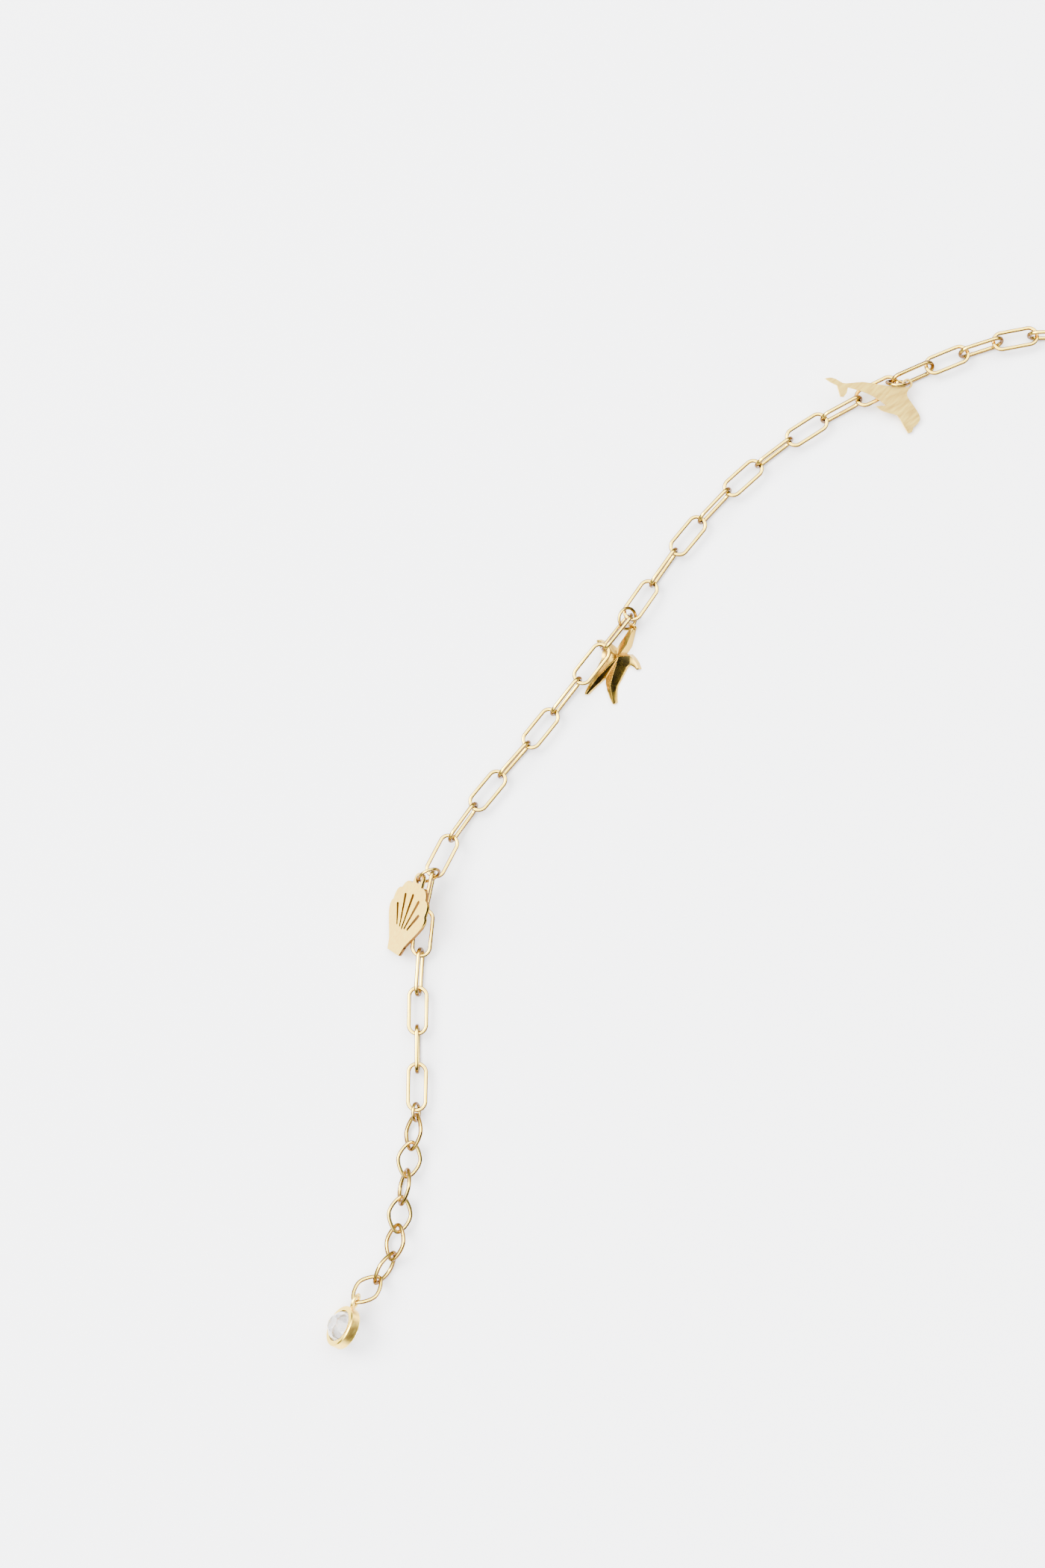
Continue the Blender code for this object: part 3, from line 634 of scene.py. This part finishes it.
class BRACELET_OT_chain(bpy.types.Operator):
    """Models the paperclip links, open and on edge in turn"""
    bl_idname = "bracelet.chain"
    bl_label = "Paperclip chain"

    def execute(self, context):
        sizes = context.scene.bracelet_sizes
        local = local_size(CHAIN_LINKS[0])
        link = model_stadium_link(local.x, local.y, sizes.link_wire, sizes.wire_squareness)
        lay_copies(link, CHAIN_LINKS)
        return {"FINISHED"}


class BRACELET_OT_extender(bpy.types.Operator):
    """Models the rounded rhombus links and the small round link of the extender"""
    bl_idname = "bracelet.extender"
    bl_label = "Extender"

    def execute(self, context):
        sizes = context.scene.bracelet_sizes
        local = local_size(EXTENDER_LINKS[0])
        link = model_rhombus_link(
            local.x, local.y, sizes.rhombus_wire, sizes.rhombus_handle, sizes.wire_squareness
        )
        lay_copies(link, EXTENDER_LINKS)
        small = "extender_small_link"
        lay_copies(model_ring(local_size(small).x, sizes.ring_wire), [small])
        return {"FINISHED"}


class BRACELET_OT_rings(bpy.types.Operator):
    """Models the jump rings of the charms and of the clasp"""
    bl_idname = "bracelet.rings"
    bl_label = "Jump rings"

    def execute(self, context):
        wire = context.scene.bracelet_sizes.ring_wire
        lay_copies(model_ring(local_size(JUMP_RINGS[0]).x, wire), JUMP_RINGS)
        return {"FINISHED"}


def dress_walls(plate, name):
    """Gives a plate's slot walls the saw's dull finish in a painted brown shade, and polishes
    its outer walls.
    """
    matrix = node_matrix(name)
    half = local_size(name) / 2
    outer, slots = 1, 2
    plate.data.materials.append(finish("tumble_polished_gold"))
    plate.data.materials.append(finish("saw_cut_gold_painted_shade"))
    # Walls inside the slots take the material whose brown is painted shade
    for face in plate.data.polygons:
        if abs(face.normal.dot(matrix.to_3x3().col[2])) < PLATE_WALL:
            place = matrix.inverted() @ face.center
            inside = abs(place.x) < half.x * SLOT_SHARE and abs(place.y) < half.y * SLOT_SHARE
            face.material_index = slots if inside else outer


class BRACELET_OT_shell(bpy.types.Operator):
    """Models the scallop shell: a sawn sheet with rounded edges and pierced slots"""
    bl_idname = "bracelet.shell"
    bl_label = "Scallop shell"

    def execute(self, context):
        plate = node_copy("shell_charm")
        soften_edges(plate, context.scene.bracelet_sizes.plate_edge, PLATE_TURN)
        settle(
            plate, "shell_plate", Matrix.Identity(4), finish("satin_sheet_gold"),
            ["shell_charm"],
        )
        dress_walls(plate, "shell_charm")
        return {"FINISHED"}


class BRACELET_OT_dolphin(bpy.types.Operator):
    """Models the dolphin: a sawn sheet with rounded edges"""
    bl_idname = "bracelet.dolphin"
    bl_label = "Dolphin"

    def execute(self, context):
        plate = node_copy("dolphin_charm")
        soften_edges(plate, context.scene.bracelet_sizes.plate_edge, PLATE_TURN)
        settle(
            plate, "dolphin_plate", Matrix.Identity(4), finish("satin_sheet_gold"),
            ["dolphin_charm"],
        )
        return {"FINISHED"}


class BRACELET_OT_starfish(bpy.types.Operator):
    """Models the starfish: a cast and lapped body with a soldered eye"""
    bl_idname = "bracelet.starfish"
    bl_label = "Starfish"

    def execute(self, context):
        body = node_copy("star_charm")
        soften_edges(body, context.scene.bracelet_sizes.star_edge, STAR_TURN, 2)
        settle(
            body, "starfish_body", Matrix.Identity(4), finish("lapped_cast_gold"),
            ["star_charm"],
        )
        return {"FINISHED"}


def dress_band(bezel, name):
    """Gives the band's outer wall, round the stone's axis, its satin finish."""
    matrix = node_matrix(name)
    axis = Vector(matrix.col[2][:3])
    bezel.data.materials.append(finish("satin_sheet_gold"))
    for face in bezel.data.polygons:
        arm = face.center - matrix.translation
        outward = arm - axis * arm.dot(axis)
        if abs(face.normal.dot(axis)) < BAND_WALL and face.normal.dot(outward) > 0:
            face.material_index = 1


class BRACELET_OT_drop(bpy.types.Operator):
    """Models the bezel with its bail, and the stone that it holds"""
    bl_idname = "bracelet.drop"
    bl_label = "Stone drop"

    def execute(self, context):
        bezel = node_copy("drop_bezel")
        soften_edges(bezel, SETTING_EDGE, SETTING_TURN)
        settle(
            bezel, "drop_bezel_fine", Matrix.Identity(4), finish("burnished_gold"),
            ["drop_bezel"],
        )
        dress_band(bezel, "drop_stone")
        gem = node_copy("drop_stone")
        shade(gem, FACET_BLEND)
        settle(
            gem, "drop_stone_fine", Matrix.Identity(4), finish("cut_zirconia"),
            ["drop_stone"],
        )
        return {"FINISHED"}


class BRACELET_OT_clasp(bpy.types.Operator):
    """Models the closed spring ring with its soldered loop and thumb peg"""
    bl_idname = "bracelet.clasp"
    bl_label = "Clasp"

    def execute(self, context):
        clasp = node_copy("clasp")
        soften_edges(clasp, SETTING_EDGE, SETTING_TURN)
        settle(
            clasp, "clasp_fine", Matrix.Identity(4), finish("tumble_polished_gold"),
            ["clasp"],
        )
        return {"FINISHED"}


def surface_material(looks):
    """Matt white board with a faint tooth."""
    material, tree, shader, place = new_material("matt_white_board")
    tooth = add_node(
        tree, "ShaderNodeTexNoise", [("Vector", place)], Scale=1 / (1.1 * MM), Detail=4.0
    )
    bump = add_node(
        tree, "ShaderNodeBump", [("Height", tooth.outputs["Fac"])],
        Strength=0.10, Distance=0.05 * MM,
    )
    tree.links.new(bump.outputs["Normal"], shader.inputs["Normal"])
    shader.inputs["Base Color"].default_value = linear(looks.surface)
    shader.inputs["Roughness"].default_value = 0.85
    return material


def add_key_light():
    """A large round light at the far left, which points at the bracelet."""
    deselect()
    bpy.ops.object.light_add(type="AREA", location=KEY_PLACE)
    light = bpy.context.object
    light.name = "key_light"
    light.data.shape = "DISK"
    light.data.size = KEY_SIZE
    light.data.energy = KEY_POWER
    light.rotation_euler = (-Vector(KEY_PLACE)).to_track_quat("-Z", "Y").to_euler()


def studio_world():
    """A white room lit from above and from the far left, with a dark side to the near right."""
    world = bpy.data.worlds.new("studio_room")
    bpy.context.scene.world = world
    world.use_nodes = True
    tree = world.node_tree
    background = tree.nodes["Background"]
    place = tree.nodes.new("ShaderNodeTexCoord").outputs["Object"]
    split = add_node(tree, "ShaderNodeSeparateXYZ", [("Vector", place)])
    height = add_node(
        tree, "ShaderNodeValToRGB", [("Fac", split.outputs["Z"])],
        stops=((ROOM_HEIGHTS[0], ROOM_LOW), (ROOM_HEIGHTS[1], WHITE)),
    )
    light = height.outputs["Color"]
    for middle, colour, start, full in ROOM_SHADES:
        toward = add_node(tree, "ShaderNodeVectorMath", [(0, place)], operation="DOT_PRODUCT")
        toward.inputs[1].default_value = middle
        shaded = add_node(
            tree, "ShaderNodeValToRGB", [("Fac", toward.outputs["Value"])],
            stops=((start, WHITE), (full, colour)),
        )
        product = add_node(
            tree, "ShaderNodeVectorMath", [(0, light), (1, shaded.outputs["Color"])],
            operation="MULTIPLY",
        )
        light = product.outputs["Vector"]
    tree.links.new(light, background.inputs["Color"])
    background.inputs["Strength"].default_value = ROOM_STRENGTH


def add_camera():
    """The camera, at the angle from which the bracelet is seen."""
    deselect()
    bpy.ops.object.camera_add(
        location=CAMERA_PLACE, rotation=(math.radians(90.0 - CAMERA_PITCH), 0.0, 0.0)
    )
    camera = bpy.context.object
    camera.data.lens = CAMERA_LENS
    camera.data.sensor_width = CAMERA_SENSOR
    camera.data.clip_start = CAMERA_NEAR
    camera.data.clip_end = CAMERA_FAR
    bpy.context.scene.camera = camera


class BRACELET_OT_stage(bpy.types.Operator):
    """Makes the pale surface, the soft light and the camera"""
    bl_idname = "bracelet.stage"
    bl_label = "Stage"

    def execute(self, context):
        deselect()
        bpy.ops.mesh.primitive_plane_add(size=FLOOR_SIZE, location=(0.0, 0.0, -FLOOR_DROP))
        floor = context.object
        floor.name = "pale_surface"
        floor.data.materials.append(surface_material(context.scene.bracelet_looks))
        studio_world()
        add_key_light()
        add_camera()
        return {"FINISHED"}


STEPS = (
    BRACELET_OT_chain,
    BRACELET_OT_extender,
    BRACELET_OT_rings,
    BRACELET_OT_shell,
    BRACELET_OT_starfish,
    BRACELET_OT_dolphin,
    BRACELET_OT_drop,
    BRACELET_OT_clasp,
    BRACELET_OT_stage,
)


class BRACELET_PT_panel(bpy.types.Panel):
    """Lists the bracelet's pieces, sizes and colours"""
    bl_idname = "BRACELET_PT_panel"
    bl_label = "Charm bracelet"
    bl_space_type = "VIEW_3D"
    bl_region_type = "UI"
    bl_category = TAB

    def draw(self, context):
        for group in (context.scene.bracelet_sizes, context.scene.bracelet_looks):
            box = self.layout.box()
            for name in group.bl_rna.properties.keys():
                if name not in {"rna_type", "name"}:
                    box.prop(group, name)
        for step in STEPS:
            self.layout.operator(step.bl_idname)


CLASSES = (BraceletSizes, BraceletLooks, *STEPS, BRACELET_PT_panel)


def register():
    """Registers the classes, and gives scenes their sizes and colours."""
    for item in CLASSES:
        bpy.utils.register_class(item)
    bpy.types.Scene.bracelet_sizes = bpy.props.PointerProperty(type=BraceletSizes)
    bpy.types.Scene.bracelet_looks = bpy.props.PointerProperty(type=BraceletLooks)


def unregister():
    """Takes back what register gave, in the other order."""
    del bpy.types.Scene.bracelet_looks
    del bpy.types.Scene.bracelet_sizes
    for item in reversed(CLASSES):
        bpy.utils.unregister_class(item)


def main():
    """Makes the pieces and the stage in order."""
    register()
    for step in STEPS:
        group, name = step.bl_idname.split(".")
        getattr(getattr(bpy.ops, group), name)()


if __name__ == "__main__":
    main()
